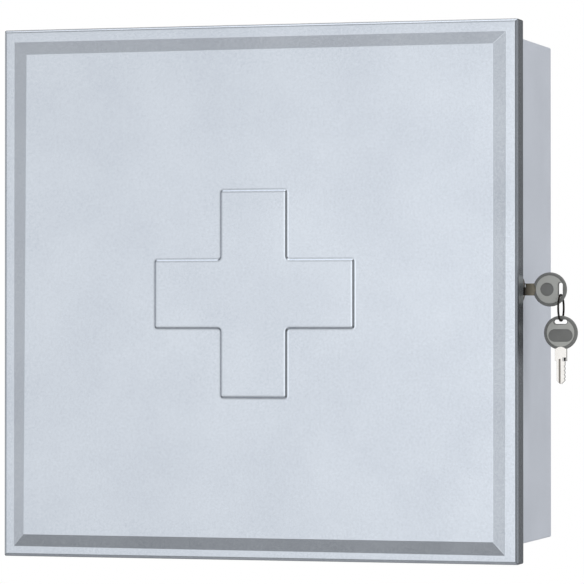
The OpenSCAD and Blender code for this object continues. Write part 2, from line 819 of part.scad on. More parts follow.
module bow() {
    face = bow_t / 2;
    low = face - bow_step;
    color(bow_grey) translate([bow_x, 0, 0]) difference() {
        union() {
            rotate([90, 0, 0]) rotate_extrude($fn = 96) polygon([
                [0, -low], [bow_r - bow_chamfer, -low], [bow_r, -low + bow_chamfer],
                [bow_r, low - bow_chamfer], [bow_r - bow_chamfer, low], [0, low]
            ]);
            rod_y(-face, face, bow_r - bow_rim);
        }
        // One face has a round dish and the other a long recess across it
        translate([-mark_offset, 0, 0]) {
            rod_y(-face - over, -low, dish_d / 2);
            stadium(label_l, label_h, low, face + over);
        }
        translate([slot_offset, 0, 0]) bow_slot();
        // Arch over the shoulder, and the pocket of the blade's tang
        translate([-bow_r + arch_in - arch_r, 0, 0]) rod_y(-bow_t, bow_t, arch_r);
        block([-bow_x, -blade_t / 2, -shoulder_w / 2],
            [-bow_r + tang_l, blade_t / 2, shoulder_w / 2]);
    }
}

module in_lock() translate([plug_face, lock_y, lock_z]) children();

// The spare key hangs from the ring with its blade down and its other face forward
module on_ring()
    translate([ring_x, lock_y, spare_z]) rotate([0, -90, 0]) rotate([180, 0, 0]) children();

module key_ring() {
    color(nickel) translate([ring_x, lock_y, ring_z]) rotate([0, 90, 0])
        rotate_extrude($fn = 96) for (turn = [-1, 1])
            translate([ring_mid_r, turn * turn_offset]) circle(r = wire_r, $fn = 32);
}

cabinet_shell();
back_panel();
shelf(shelf_level);  // shelf_upper
shelf(-shelf_level);  // shelf_lower
shelf_brackets();
hinge_leaf_body(1);  // hinge_leaf_body_upper
hinge_leaf_body(-1);  // hinge_leaf_body_lower
hinge_pin(1);  // hinge_pin_upper
hinge_pin(-1);  // hinge_pin_lower
hinge_rivets();
lock_housing();
lock_nut();
door_skin();
door_liner();
hinge_leaf_door(1);  // hinge_leaf_door_upper
hinge_leaf_door(-1);  // hinge_leaf_door_lower
hinge_screws();
door_buffers();
strike_bracket();
strike_screws();
lock_plug();
lock_wafers();
lock_cam();
cam_washer();
cam_screw();
in_lock() blade();  // key_blade
in_lock() bow();  // key_bow
key_ring();
on_ring() blade();  // spare_key_blade
on_ring() bow();  // spare_key_bow
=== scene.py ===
"""Looks of a lockable wall cabinet for medicines, built round its packed CAD model.

Sizes in the classes are millimetres, in the frame of the CAD: the origin is the centre of
the body's back face, +X is the lock side, +Y goes into the wall and +Z is up.
"""

import json
import logging
import math
from collections.abc import Sequence
from dataclasses import dataclass
from enum import Enum
from typing import Any

import bmesh
import bpy
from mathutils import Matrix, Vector

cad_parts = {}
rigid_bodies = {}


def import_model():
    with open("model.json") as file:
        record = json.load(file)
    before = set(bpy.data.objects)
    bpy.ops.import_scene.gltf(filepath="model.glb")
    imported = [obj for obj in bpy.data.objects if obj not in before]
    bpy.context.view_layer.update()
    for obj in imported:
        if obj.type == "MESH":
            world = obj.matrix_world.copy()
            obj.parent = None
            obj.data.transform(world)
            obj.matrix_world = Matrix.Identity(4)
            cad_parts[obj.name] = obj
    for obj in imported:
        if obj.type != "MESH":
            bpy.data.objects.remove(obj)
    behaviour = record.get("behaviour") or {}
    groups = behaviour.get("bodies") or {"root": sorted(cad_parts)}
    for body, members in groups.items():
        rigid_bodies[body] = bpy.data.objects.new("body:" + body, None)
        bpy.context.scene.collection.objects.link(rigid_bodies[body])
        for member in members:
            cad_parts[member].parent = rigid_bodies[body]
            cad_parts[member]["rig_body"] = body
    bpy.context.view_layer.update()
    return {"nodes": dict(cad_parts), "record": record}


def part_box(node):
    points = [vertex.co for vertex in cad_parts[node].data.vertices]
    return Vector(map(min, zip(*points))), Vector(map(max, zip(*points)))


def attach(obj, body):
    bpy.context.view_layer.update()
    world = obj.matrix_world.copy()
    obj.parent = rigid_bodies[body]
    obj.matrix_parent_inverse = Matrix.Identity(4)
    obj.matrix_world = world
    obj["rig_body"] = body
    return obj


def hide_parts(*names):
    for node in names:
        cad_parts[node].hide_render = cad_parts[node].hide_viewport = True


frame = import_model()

LOG = logging.getLogger("cabinet")
MM = 0.001
SMOOTH_BELOW = math.radians(38)
# Points closer than this are one point, and faces flatter than this are one face
MERGE_BELOW = 0.001
FLAT_BELOW = math.radians(0.4)

Flat = tuple[float, float]


class Slot(Enum):
    """The record's material slots."""

    DOOR = "door_paint"
    BODY = "body_paint"
    ZINC = "zinc_steel"
    NICKEL = "nickel_plate"
    BRASS = "brass"
    RUBBER = "rubber"
    BOW = "bow_plastic"


# ---- Shader nodes ----

# How rough every noise is, and how many finer noises the grain, the patches and the
# brushed lines hold
NOISE_ROUGHNESS = 0.55
FINE_DETAIL = 2.0
BROAD_DETAIL = 3.0
LINE_DETAIL = 1.0
# The two noises add up to 1 on average: the spans over which colour and roughness run
TONE_SPAN = (0.65, 1.35)
ROUGH_SPAN = (0.6, 1.4)
# Below this share of metal a finish has an index of refraction of its own
METAL_FROM = 0.5


def linear(code: str) -> tuple[float, float, float, float]:
    """Turns an sRGB hex value into linear light.

    Args:
        code: The colour, as #rrggbb.

    Returns:
        Red, green, blue and an alpha of one.
    """
    parts = [int(code[i : i + 2], 16) / 255 for i in (1, 3, 5)]
    light = [c / 12.92 if c <= 0.04045 else ((c + 0.055) / 1.055) ** 2.4 for c in parts]
    return (light[0], light[1], light[2], 1.0)


def add(
    tree: bpy.types.NodeTree,
    kind: str,
    inputs: dict[str | int, Any] | None = None,
    **settings: Any,
) -> bpy.types.Node:
    """Adds a node with its settings and links.

    Args:
        tree: The tree that takes the node.
        kind: The node's type.
        inputs: What each input takes, by name or number: an output to link, or a value.
        **settings: The node's own properties.

    Returns:
        The new node.
    """
    made = tree.nodes.new(kind)
    for name, value in settings.items():
        setattr(made, name, value)
    for key, value in (inputs or {}).items():
        if isinstance(value, bpy.types.NodeSocket):
            tree.links.new(value, made.inputs[key])
        else:
            made.inputs[key].default_value = value
    return made


def distance_share(
    tree: bpy.types.NodeTree, where: bpy.types.NodeSocket, zero: float, low: float, high: float
) -> bpy.types.NodeSocket:
    """Adds a share that grows with the distance from a place.

    Args:
        tree: The material's nodes.
        where: The coordinate, in metres.
        zero: The place, mm.
        low: Distance at which the share is 0, mm.
        high: Distance at which it is 1, mm.

    Returns:
        The share.
    """
    off = add(tree, "ShaderNodeMath", {0: where, 1: zero * MM}, operation="SUBTRACT")
    far = add(tree, "ShaderNodeMath", {0: off.outputs[0]}, operation="ABSOLUTE")
    share = add(
        tree, "ShaderNodeMapRange", {0: far.outputs[0], 1: low * MM, 2: high * MM, 3: 0.0, 4: 1.0}
    )
    return share.outputs[0]


@dataclass(frozen=True)
class Finish:
    """A surface of one real material, made one way.

    Grain, relief and patch are millimetres. Each noise lies in the piece's own space, so its
    scale is one over its real size.
    """

    name: str
    colour: str
    shade: str
    metallic: float
    smoothest: float
    roughest: float
    grain: float
    relief: float
    ior: float = 1.5
    coat: float = 0.0
    patch: float = 60.0

    def material(self) -> bpy.types.Material:
        """Returns the finish's material, made at its first use."""
        known = bpy.data.materials.get(self.name)
        if known:
            return known
        made = bpy.data.materials.new(self.name)
        made.use_nodes = True
        tree = made.node_tree
        tree.nodes.clear()
        place = add(tree, "ShaderNodeTexCoord").outputs["Object"]
        fine = self.noise(tree, place, self.grain, FINE_DETAIL)
        broad = self.noise(tree, place, self.patch, BROAD_DETAIL)
        both = add(tree, "ShaderNodeMath", {0: fine, 1: broad}, operation="ADD")
        dark, light = TONE_SPAN
        tone = add(
            tree, "ShaderNodeMapRange", {0: both.outputs[0], 1: dark, 2: light, 3: 0.0, 4: 1.0}
        )
        colour = add(
            tree,
            "ShaderNodeMix",
            {0: tone.outputs[0], 6: linear(self.shade), 7: linear(self.colour)},
            data_type="RGBA",
        )
        low, high = ROUGH_SPAN
        rough = add(
            tree,
            "ShaderNodeMapRange",
            {0: both.outputs[0], 1: low, 2: high, 3: self.smoothest, 4: self.roughest},
        )
        shader = add(
            tree,
            "ShaderNodeBsdfPrincipled",
            {
                "Base Color": self.tint(tree, place, colour.outputs[2]),
                "Metallic": self.metallic,
                "Roughness": rough.outputs[0],
                "Coat Weight": self.coat,
            },
        )
        if self.metallic < METAL_FROM:
            shader.inputs["IOR"].default_value = self.ior
        height = self.height(tree, place, fine)
        bump = add(
            tree,
            "ShaderNodeBump",
            {"Height": height, "Distance": self.relief * MM, "Strength": 1.0},
        )
        tree.links.new(bump.outputs[0], shader.inputs["Normal"])
        add(tree, "ShaderNodeOutputMaterial", {0: shader.outputs[0]})
        return made

    def noise(
        self, tree: bpy.types.NodeTree, place: bpy.types.NodeSocket, size: float, detail: float
    ) -> bpy.types.NodeSocket:
        """Adds a noise.

        Args:
            tree: The material's nodes.
            place: Where on the piece, in metres.
            size: Size of a grain, mm.
            detail: How many finer noises are added to it.

        Returns:
            The noise's value, near 0.5 on average.
        """
        made = add(
            tree,
            "ShaderNodeTexNoise",
            {
                "Vector": place,
                "Scale": 1 / (size * MM),
                "Detail": detail,
                "Roughness": NOISE_ROUGHNESS,
            },
        )
        return made.outputs[0]

    def height(
        self, tree: bpy.types.NodeTree, place: bpy.types.NodeSocket, fine: bpy.types.NodeSocket
    ) -> bpy.types.NodeSocket:
        """Returns the height of the surface's relief, from 0 to 1."""
        return fine

    def tint(
        self, tree: bpy.types.NodeTree, place: bpy.types.NodeSocket, colour: bpy.types.NodeSocket
    ) -> bpy.types.NodeSocket:
        """Returns the colour with what use has done to it."""
        return colour


@dataclass(frozen=True)
class Brushed(Finish):
    """A metal whose surface keeps the lines that it was ground or polished with."""

    stretch: tuple[float, float, float] = (1.0, 1.0, 8.0)

    def height(
        self, tree: bpy.types.NodeTree, place: bpy.types.NodeSocket, fine: bpy.types.NodeSocket
    ) -> bpy.types.NodeSocket:
        """Returns lines that run across the stretched directions."""
        drawn = add(tree, "ShaderNodeMapping", {"Vector": place, "Scale": self.stretch})
        return self.noise(tree, drawn.outputs[0], self.grain, LINE_DETAIL)


@dataclass(frozen=True)
class Handled(Finish):
    """A moulding whose raised faces are rubbed lighter than the rest.

    It turns lighter between two distances, low and high, from its middle plane along Y.
    """

    rubbed: str = "#a0a19d"
    plane: float = 0.0
    low: float = 1.55
    high: float = 1.76

    def tint(
        self, tree: bpy.types.NodeTree, place: bpy.types.NodeSocket, colour: bpy.types.NodeSocket
    ) -> bpy.types.NodeSocket:
        """Returns the colour, lighter where the surface lies far from the middle plane."""
        parts = add(tree, "ShaderNodeSeparateXYZ", {0: place})
        share = distance_share(tree, parts.outputs[1], self.plane, self.low, self.high)
        mixed = add(
            tree,
            "ShaderNodeMix",
            {0: share, 6: colour, 7: linear(self.rubbed)},
            data_type="RGBA",
        )
        return mixed.outputs[2]


@dataclass(frozen=True)
class KeyShadePainted(Brushed):
    """Key metal with painted shade in its grooves, and painted shade where it meets the lock.

    The painted shade fades between two distances, low and high, from the key's middle plane, and
    between near and reach from the lock's face. Without a reach there is none at the lock.
    """

    # The colour of the painted shade
    painted_shade: str = "#1d1a18"
    plane: float = 0.0
    low: float = 0.8
    high: float = 0.97
    lock_face: float = 0.0
    near: float = 1.6
    reach: float = 0.0

    def tint(
        self, tree: bpy.types.NodeTree, place: bpy.types.NodeSocket, colour: bpy.types.NodeSocket
    ) -> bpy.types.NodeSocket:
        """Returns the colour with painted shade near the middle plane and at the lock's face."""
        parts = add(tree, "ShaderNodeSeparateXYZ", {0: place})
        bands = [(parts.outputs[1], self.plane, self.low, self.high)]
        if self.reach:
            bands.append((parts.outputs[0], self.lock_face, self.near, self.reach))
        for where, zero, low, high in bands:
            share = distance_share(tree, where, zero, low, high)
            mixed = add(
                tree,
                "ShaderNodeMix",
                {0: share, 6: linear(self.painted_shade), 7: colour},
                data_type="RGBA",
            )
            colour = mixed.outputs[2]
        return colour


@dataclass(frozen=True)
class KeyShadowLacquer(Finish):
    """The door's lacquer, with a painted shadow of the hanging keys on its edge beside them.

    The painted shadow fades with the depth from the edge, and with the spread up and down from
    its middle, each between two distances.
    """

    # The colour of the painted shadow of the keys
    key_shadow_colour: str = "#6d737b"
    edge: float = 200.0
    depth: Flat = (0.3, 0.9)
    middle: float = -19.0
    spread: Flat = (20.0, 38.0)

    def tint(
        self, tree: bpy.types.NodeTree, place: bpy.types.NodeSocket, colour: bpy.types.NodeSocket
    ) -> bpy.types.NodeSocket:
        """Returns the colour, with the painted shadow of the keys in a patch on the edge."""
        parts = add(tree, "ShaderNodeSeparateXYZ", {0: place})
        inward = distance_share(tree, parts.outputs[0], self.edge, *self.depth)
        upward = distance_share(tree, parts.outputs[2], self.middle, *self.spread)
        clear = add(tree, "ShaderNodeMath", {0: inward, 1: upward}, operation="MAXIMUM")
        mixed = add(
            tree,
            "ShaderNodeMix",
            {0: clear.outputs[0], 6: linear(self.key_shadow_colour), 7: colour},
            data_type="RGBA",
        )
        return mixed.outputs[2]


# Aluminium-flake stoving lacquer, sprayed on the door: a satin metal sheen that turns dark
# where it faces away from the light, with a fine sparkle. The real flakes are 0.05 mm, so
# they are drawn 1.6 mm wide to show at all.
# On its edge beside the keys the lacquer carries a painted shadow of the keys.
LACQUER = KeyShadowLacquer(
    "silver_stoving_lacquer",
    colour="#d7dee7",
    shade="#c8cfd9",
    metallic=0.92,
    smoothest=0.14,
    roughest=0.2,
    grain=1.6,
    relief=0.006,
)
# The same lacquer on the door's inner panel, in one thin dry coat: paler and duller.
INSIDE = Finish(
    "thin_silver_lacquer",
    colour="#c6cbd3",
    shade="#bbc1c9",
    metallic=0.3,
    smoothest=0.34,
    roughest=0.46,
    grain=1.4,
    relief=0.008,
)
# Polyester powder coat on the body, baked: matt, with a fine orange peel.
POWDER = Finish(
    "grey_powder_coat",
    colour="#bcc1ca",
    shade="#b3b8c1",
    metallic=0.15,
    smoothest=0.5,
    roughest=0.62,
    grain=1.2,
    relief=0.02,
)
# Electroplated zinc on stamped steel: bluish, satin, slightly cloudy.
ZINC = Finish(
    "zinc_plated_steel",
    colour="#b9bec4",
    shade="#a3a8ad",
    metallic=1.0,
    smoothest=0.28,
    roughest=0.44,
    grain=0.9,
    relief=0.008,
    patch=9.0,
)
# Nickel plate over polished brass or zinc: warm white mirror with hairlines.
NICKEL = Brushed(
    "polished_nickel_plate",
    colour="#f3f1ee",
    shade="#e5e2dd",
    metallic=1.0,
    smoothest=0.1,
    roughest=0.2,
    grain=0.5,
    relief=0.004,
    patch=6.0,
)
# Spring wire of the split ring, its plating worn dark.
WIRE = Brushed(
    "worn_spring_wire",
    colour="#77716a",
    shade="#4c4843",
    metallic=1.0,
    smoothest=0.08,
    roughest=0.16,
    grain=0.5,
    relief=0.004,
    patch=3.0,
)
# A dark block for the spare key's notch: painted shade.
NOTCH_SHADE = Finish(
    "painted_notch_shade",
    colour="#1b1917",
    shade="#141311",
    metallic=0.0,
    smoothest=0.7,
    roughest=0.85,
    grain=0.3,
    relief=0.01,
    patch=2.0,
)
# Stamped brass strip, unplated.
BRASS = Finish(
    "stamped_brass",
    colour="#c8a765",
    shade="#b08f52",
    metallic=1.0,
    smoothest=0.25,
    roughest=0.4,
    grain=0.4,
    relief=0.004,
    patch=4.0,
)
# Black rubber, moulded: dull, with a bloom of its own dust.
RUBBER = Finish(
    "moulded_black_rubber",
    colour="#35363a",
    shade="#27282a",
    metallic=0.0,
    smoothest=0.7,
    roughest=0.85,
    grain=0.5,
    relief=0.03,
    ior=1.52,
    patch=8.0,
)
# Grey ABS, moulded in a satin tool: an even plastic with a faint spark-eroded grain.
ABS = Finish(
    "moulded_grey_abs",
    colour="#6e6f6d",
    shade="#646563",
    metallic=0.0,
    smoothest=0.36,
    roughest=0.5,
    grain=0.35,
    relief=0.01,
    ior=1.54,
    patch=7.0,
)

FINISHES = {
    Slot.DOOR: LACQUER,
    Slot.BODY: POWDER,
    Slot.ZINC: ZINC,
    Slot.NICKEL: NICKEL,
    Slot.BRASS: BRASS,
    Slot.RUBBER: RUBBER,
    Slot.BOW: ABS,
}

# ---- Meshes ----


def rounded(
    points: Sequence[Flat], radii: Sequence[float], steps: int, closed: bool = True
) -> list[Flat]:
    """Rounds the corners of a line.

    Args:
        points: The corners.
        radii: The radius at each corner; none is rounded at the ends of an open line.
        steps: How many chords each rounding has.
        closed: Whether the last corner joins the first.

    Returns:
        The points of the rounded line.
    """
    out: list[Flat] = []
    count = len(points)
    for i, (corner, radius) in enumerate(zip(points, radii)):
        if radius <= 0 or (not closed and i in (0, count - 1)):
            out.append(corner)
            continue
        here = Vector(corner)
        back = (Vector(points[i - 1]) - here).normalized()
        ahead = (Vector(points[(i + 1) % count]) - here).normalized()
        half = back.angle(ahead) / 2
        centre = here + (back + ahead).normalized() * radius / math.sin(half)
        start = here + back * radius / math.tan(half) - centre
        end = here + ahead * radius / math.tan(half) - centre
        turn = math.pi - 2 * half
        for k in range(steps + 1):
            a, b = math.sin(turn * (1 - k / steps)), math.sin(turn * k / steps)
            spot = centre + (start * a + end * b) / math.sin(turn)
            out.append((spot.x, spot.y))
    return out


@dataclass(frozen=True)
class Rect:
    """A rectangle with rounded corners, seen from the front."""

    left: float
    right: float
    low: float
    high: float

    def inset(self, by: float) -> "Rect":
        """Returns the rectangle that lies inside this one by a distance."""
        return Rect(self.left + by, self.right - by, self.low + by, self.high - by)

    def ring(self, y: float, radius: float, steps: int = 4) -> list[Vector]:
        """Returns its outline at a place along Y, with each corner in a few chords."""
        corners = [
            (self.left, self.high),
            (self.right, self.high),
            (self.right, self.low),
            (self.left, self.low),
        ]
        return [Vector((x, y, z)) for x, z in rounded(corners, [radius] * 4, steps)]


@dataclass(frozen=True)
class Plus:
    """The outline of a cross with four equal arms, seen from the front."""

    x: float
    z: float
    reach: float
    arm: float
    least_radius: float = 0.2

    def ring(self, y: float, inset: float, radius: float, steps: int = 4) -> list[Vector]:
        """Returns its outline, moved in, with its corners rounded.

        Args:
            y: The place along Y.
            inset: How far the outline is moved in.
            radius: Radius of the outer corners before it is moved in.
            steps: How many chords each corner has.

        Returns:
            The outline's points.
        """
        far, near = self.reach - inset, self.arm - inset
        quarter = [(-near, far), (near, far), (near, near)]
        corners = []
        for turn in range(4):
            a, b = round(math.cos(turn * math.pi / 2)), round(math.sin(turn * math.pi / 2))
            corners += [(a * x + b * z, a * z - b * x) for x, z in quarter]
        outer = max(self.least_radius, radius - inset)
        radii = [outer, outer, radius + inset] * 4
        flat = rounded(corners, radii, steps)
        return [Vector((self.x + x, y, self.z + z)) for x, z in flat]


class Solid:
    """A mesh in the making, in millimetres."""

    def __init__(self) -> None:
        """Starts an empty mesh."""
        self.bm = bmesh.new()

    def skin(self, rings: Sequence[Sequence[Vector]], closed: bool = False) -> list[list[Any]]:
        """Joins rings of the same count into a skin.

        Args:
            rings: The rings, in order.
            closed: Whether the last ring joins the first.

        Returns:
            The vertices of each ring.
        """
        made = [[self.bm.verts.new(co) for co in ring] for ring in rings]
        for one, two in zip(made, made[1:] + (made[:1] if closed else [])):
            for i in range(len(one)):
                j = (i + 1) % len(one)
                self.bm.faces.new((one[i], one[j], two[j], two[i]))
        return made

    def fill(self, outer: Sequence[Any], inner: Sequence[Any] = ()) -> None:
        """Fills a flat ring of vertices, round an inner ring if there is one."""
        if not inner:
            self.bm.faces.new(outer)
            return
        edges = [
            self.bm.edges.get((ring[i - 1], ring[i]))
            for ring in (outer, inner)
            for i in range(len(ring))
        ]
        bmesh.ops.triangle_fill(self.bm, use_beauty=True, use_dissolve=False, edges=edges)

    def loft(self, rings: Sequence[Sequence[Vector]]) -> None:
        """Adds a solid between rings, with flat ends."""
        made = self.skin(rings)
        self.fill(made[0])
        self.fill(made[-1])

    def prism(self, outline: Sequence[Flat], start: float, end: float) -> None:
        """Adds a flat outline drawn out along X.

        Args:
            outline: Its corners, as Y and Z.
            start: Where it starts.
            end: Where it ends.
        """
        self.loft([[Vector((x, y, z)) for y, z in outline] for x in (start, end)])

    def mesh(self, name: str) -> bpy.types.Mesh:
        """Ends the making.

        Args:
            name: The mesh's name.

        Returns:
            The mesh, in metres, with its faces outwards and its creases marked.
        """
        bmesh.ops.recalc_face_normals(self.bm, faces=self.bm.faces)
        made = bpy.data.meshes.new(name)
        self.bm.verts.index_update()
        made.from_pydata(
            [v.co * MM for v in self.bm.verts],
            [],
            [[v.index for v in f.verts] for f in self.bm.faces],
        )
        self.bm.free()
        made.shade_smooth()
        made.set_sharp_from_angle(angle=SMOOTH_BELOW)
        return made


def node_facts(node: str) -> tuple[str, Slot]:
    """Returns the body that a CAD node rides on, and its material slot."""
    body = frame["nodes"][node]["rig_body"]
    slots = {part["node"]: part["material_slot"] for part in frame["record"]["subparts"]}
    return body, Slot(slots[node])


def box_mm(node: str) -> tuple[Vector, Vector]:
    """Returns the lowest and highest corner of a CAD node, in millimetres."""
    low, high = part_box(node)
    return low / MM, high / MM


def place(
    mesh: bpy.types.Mesh,
    name: str,
    nodes: Sequence[str],
    edge: float = 0.0,
    finish: Finish | None = None,
) -> Any:
    """Puts a piece in the scene instead of CAD nodes, with their body.

    Args:
        mesh: The piece's mesh.
        name: The piece's name.
        nodes: The nodes that it stands for.
        edge: How wide its sharp edges are broken, mm.
        finish: Its finish, if it isn't that of the nodes' material slot.

    Returns:
        The new object.
    """
    made = bpy.data.objects.new(name, mesh)
    bpy.context.scene.collection.objects.link(made)
    body, slot = node_facts(nodes[0])
    mesh.materials.append((finish or FINISHES[slot]).material())
    if edge:
        broken = made.modifiers.new("broken edges", "BEVEL")
        broken.width = edge * MM
        broken.segments = 2
        broken.limit_method = "ANGLE"
        broken.angle_limit = SMOOTH_BELOW
        broken.use_clamp_overlap = True
    even = made.modifiers.new("even shading", "WEIGHTED_NORMAL")
    even.keep_sharp = True
    even.weight = 100
    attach(made, body)
    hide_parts(*nodes)
    LOG.info("%s on %s, %d faces", name, body, len(mesh.polygons))
    return made


def copied(node: str, name: str, edge: float, finish: Finish | None = None) -> Any:
    """Puts a piece with the shape of a CAD node, with broken edges, in its stead.

    Args:
        node: The node.
        name: The piece's name.
        edge: How wide its sharp edges are broken, mm.
        finish: Its finish, if it isn't that of the node's material slot.

    Returns:
        The new object.
    """
    made = Solid()
    made.bm.from_mesh(frame["nodes"][node].data)
    bmesh.ops.scale(made.bm, vec=Vector((1, 1, 1)) / MM, verts=made.bm.verts)
    bmesh.ops.remove_doubles(made.bm, verts=made.bm.verts, dist=MERGE_BELOW)
    bmesh.ops.dissolve_limit(
        made.bm, angle_limit=FLAT_BELOW, verts=made.bm.verts, edges=made.bm.edges
    )
    return place(made.mesh(name), name, [node], edge, finish)


def cut(piece: Any, tool: Solid) -> None:
    """Cuts a tool's shape out of a piece, for good."""
    cutter = bpy.data.objects.new("tool", tool.mesh("tool"))
    bpy.context.scene.collection.objects.link(cutter)
    carve = piece.modifiers.new("cut", "BOOLEAN")
    carve.operation = "DIFFERENCE"
    carve.solver = "EXACT"
    carve.object = cutter
    others = [m for m in piece.modifiers if m != carve]
    for modifier in others:
        modifier.show_viewport = False
    bpy.context.view_layer.update()
    graph = bpy.context.evaluated_depsgraph_get()
    result = bpy.data.meshes.new_from_object(piece.evaluated_get(graph))
    result.name = piece.data.name
    piece.modifiers.remove(carve)
    for modifier in others:
        modifier.show_viewport = True
    piece.data = result
    result.set_sharp_from_angle(angle=SMOOTH_BELOW)
    bpy.data.objects.remove(cutter)


# ---- The cabinet's sub-assemblies ----


@dataclass
class Door:
    """The pressed door front with its frame, raised field and cross, and the inner panel."""

    sheet: float = 1.0
    # The outline's corner radius, how fast it shrinks further in, and where that ends
    corner: float = 1.2
    corner_fade: float = 0.55
    corner_least: float = 0.35
    chamfer_in: float = 1.5
    chamfer_deep: float = 2.2
    frame_w: float = 8.8
    frame_top: float = 9.4
    frame_bottom: float = 7.3
    bevel_w: float = 9.2
    rise: float = 1.5
    # How far the section goes on, level, behind the edge and past the bevel
    back_lap: float = 6.0
    field_lap: float = 8.0
    # Radii of the section's bends, from the back edge to the field
    bends: tuple[float, ...] = (0, 0.6, 1.2, 2.0, 1.8, 1.6, 0)
    # Half the width and height of the opening in the door's back, inside its flange
    flange: Flat = (170.0, 170.0)
    cross_l: float = 155.4
    cross_arm: float = 52.0
    cross_x: float = -1.0
    cross_z: float = -1.3
    cross_slope: float = 1.2
    cross_corner: float = 2.2
    # On both sides of the slope the sheet bends over this width, by this much, and is level
    # for a lap beyond
    lip: float = 1.1
    lip_rise: float = 0.09
    lip_lap: float = 0.8
    # Radii of the bends from the field up to the cross
    cross_bends: tuple[float, ...] = (0, 3.0, 0.6, 0.6, 3.0, 0)
    # The pressing isn't quite square: how far the four corners of the bevel's outer and inner
    # edge lie off, to the right and up, from top left clockwise
    outer_off: tuple[Flat, ...] = ((-0.15, 0.0), (0.35, 0.1), (-0.75, -0.6), (-0.4, 0.45))
    inner_off: tuple[Flat, ...] = ((0.95, -0.45), (-0.3, 0.45), (-0.35, 0.05), (-1.45, 0.35))
    panel_edge: float = 0.25
    steps: int = 4

    def build(self) -> None:
        """Builds the front and the inner panel."""
        low, high = box_mm("door_skin")
        self.outline = Rect(low.x, high.x, low.z, high.z)
        self.field = Rect(
            low.x + self.frame_w,
            high.x - self.frame_w,
            low.z + self.frame_bottom,
            high.z - self.frame_top,
        )
        self.back = high.y
        self.front = low.y + 2 * self.rise
        self.press_front()
        copied("door_liner", "door_inner_panel", self.panel_edge, INSIDE)

    def profile(self, thick: float) -> list[Flat]:
        """Returns the pressing's section from its back edge to the field.

        Args:
            thick: How far it lies under the outside.

        Returns:
            Distances in from the door's edge, with places along Y.
        """
        t = thick
        front = self.front + t
        line = [
            (t + self.back_lap, self.back - t),
            (t, self.back - t),
            (t, front + self.chamfer_deep),
            (t + self.chamfer_in, front),
            (self.frame_w, front),
            (self.frame_w + self.bevel_w, front - self.rise),
            (self.frame_w + self.bevel_w + self.field_lap, front - self.rise),
        ]
        return rounded(line, self.bends, self.steps, closed=False)

    def ring_at(self, inset: float, y: float) -> list[Vector]:
        """Returns the pressing's outline at a distance in from its edge.

        Args:
            inset: The distance.
            y: The place along Y.

        Returns:
            The outline's points.
        """
        radius = max(self.corner_least, self.corner - self.corner_fade * inset)
        bevel = inset - self.frame_w
        if inset < self.frame_w / 2:
            return self.outline.inset(inset).ring(y, radius, self.steps)
        points = self.field.inset(bevel).ring(y, radius, self.steps)
        share = min(1.0, max(0.0, bevel / self.bevel_w))
        corners = [
            Vector(one).lerp(Vector(two), share)
            for one, two in zip(self.outer_off, self.inner_off)
        ]
        top_left, top_right, low_right, low_left = corners
        for point in points:
            across = (point.x - self.field.left) / (self.field.right - self.field.left)
            up = (point.z - self.field.low) / (self.field.high - self.field.low)
            off = low_left.lerp(low_right, across).lerp(top_left.lerp(top_right, across), up)
            point += Vector((off.x, 0, off.y))
        return points

    def press_front(self) -> None:
        """Builds the pressing as a closed sheet."""
        made = Solid()
        x, z = self.flange
        flange = Rect(-x, x, -z, z)
        rings = [self.ring_at(d, y) for d, y in reversed(self.profile(0))]
        rings.append(flange.ring(self.back, self.corner, self.steps))
        rings.append(flange.ring(self.back - self.sheet, self.corner, self.steps))
        rings += [self.ring_at(d, y) for d, y in self.profile(self.sheet)]
        skin = made.skin(rings)
        centre = (self.outline.low + self.outline.high) / 2
        plus = Plus(self.cross_x, centre + self.cross_z, self.cross_l / 2, self.cross_arm / 2)
        for ring, thick in ((skin[0], 0.0), (skin[-1], self.sheet)):
            foot = self.front + thick - self.rise
            line = [
                (-self.lip - self.lip_lap, foot),
                (-self.lip, foot),
                (0, foot - self.lip_rise),
                (self.cross_slope, foot - self.rise + self.lip_rise),
                (self.cross_slope + self.lip, foot - self.rise),
                (self.cross_slope + self.lip + self.lip_lap, foot - self.rise),
            ]
            section = rounded(line, self.cross_bends, self.steps, closed=False)
            walls = made.skin([plus.ring(y, d, self.cross_corner) for d, y in section])
            made.fill(ring, walls[0])
            made.fill(walls[-1])
        place(made.mesh("door_front"), "door_front", ["door_skin"])


